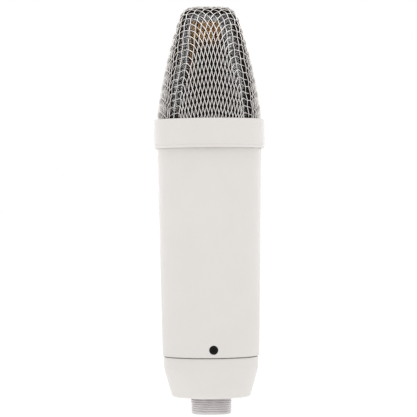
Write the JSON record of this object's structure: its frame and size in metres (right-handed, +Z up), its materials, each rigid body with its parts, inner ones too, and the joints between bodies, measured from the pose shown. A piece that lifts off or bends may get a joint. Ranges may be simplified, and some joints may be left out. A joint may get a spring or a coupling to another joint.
{
  "type": "desktop microphone",
  "caption": "Side-address condenser microphone: tapered white body, wedge-shaped woven wire head round a sprung capsule, and a threaded pin connector below.",
  "frame": {"origin": "centre of the threaded connector's lower rim", "axes": "+Z up along the body axis to the top of the wire head; -Y towards the front, the side that faces the sound source; +X to the right when seen from the front"},
  "size_m": [0.0516, 0.0516, 0.19],
  "materials": {
    "white_paint": "satin white enamel",
    "mesh_wire": "bright nickel-plated woven wire",
    "nickel": "bare nickel-plated metal",
    "black_screw": "black oxide",
    "steel": "zinc-plated steel",
    "black_plastic": "matt black moulding",
    "rubber": "black rubber",
    "brass": "turned brass",
    "gold_film": "gold-coated film",
    "circuit_board": "green solder resist",
    "capacitor_sleeve": "dark blue sleeve",
    "lead_wire": "red insulation"
  },
  "bodies": {
    "body": {"end_cap": "white_paint", "body_sleeve": "white_paint", "grille_collar": "white_paint", "outer_grille": "mesh_wire", "inner_grille": "mesh_wire", "connector_barrel": "nickel", "connector_pin_1": "nickel", "connector_pin_2": "nickel", "connector_pin_3": "nickel", "side_screw_right": "black_screw", "side_screw_left": "black_screw", "grille_clamp_ring": "steel", "insert_clip": "steel", "barrel_screw_rear": "steel", "barrel_screw_front": "steel", "frame_rail_right": "steel", "frame_rail_left": "steel", "rail_screw_right": "steel", "rail_screw_left": "steel", "deck_screw_right": "steel", "deck_screw_left": "steel", "board_screw_low_right": "steel", "board_screw_high_right": "steel", "board_screw_low_left": "steel", "board_screw_high_left": "steel", "input_shield": "steel", "isolator_pin_1": "steel", "isolator_pin_2": "steel", "isolator_pin_3": "steel", "connector_insert": "black_plastic", "output_header": "black_plastic", "output_transistor_right": "black_plastic", "output_transistor_left": "black_plastic", "capsule_deck": "black_plastic", "cap_gasket": "rubber", "main_board": "circuit_board", "reservoir_capacitor_upper": "capacitor_sleeve", "reservoir_capacitor_lower": "capacitor_sleeve", "filter_coil": "capacitor_sleeve", "coupling_capacitor": "lead_wire", "output_lead_1": "lead_wire", "output_lead_2": "lead_wire", "output_lead_3": "lead_wire"},
    "platform": {"floating_platform": "black_plastic", "rubber_grommet_1": "rubber", "rubber_grommet_2": "rubber", "rubber_grommet_3": "rubber", "stem_bush": "rubber", "signal_terminal": "brass", "polarity_terminal": "brass", "signal_lead_lower": "lead_wire", "polarity_lead_lower": "lead_wire"},
    "capsule": {"capsule_saddle": "black_plastic", "capsule_drum": "brass", "diaphragm": "gold_film", "front_clamp_ring": "brass", "rear_vent_plate": "brass", "centre_terminal": "brass", "signal_lead_upper": "lead_wire", "polarity_lead_upper": "lead_wire"}
  },
  "joints": [
    {"name": "capsule_bounce", "type": "slide", "parent": "body", "child": "platform", "axis": [0, 0, 1], "range_m": [-0.0012, 0.0012], "stiffness_N_per_m": 2500, "springref_m": 0.00033, "deforming": ["signal_lead_lower", "polarity_lead_lower"]},
    {"name": "capsule_rock", "type": "hinge", "parent": "platform", "child": "capsule", "pos_m": [0, 0, 0.136], "axis": [1, 0, 0], "range_deg": [-3, 3], "stiffness_Nm_per_rad": 0.5, "deforming": ["signal_lead_upper", "polarity_lead_upper"]}
  ]
}
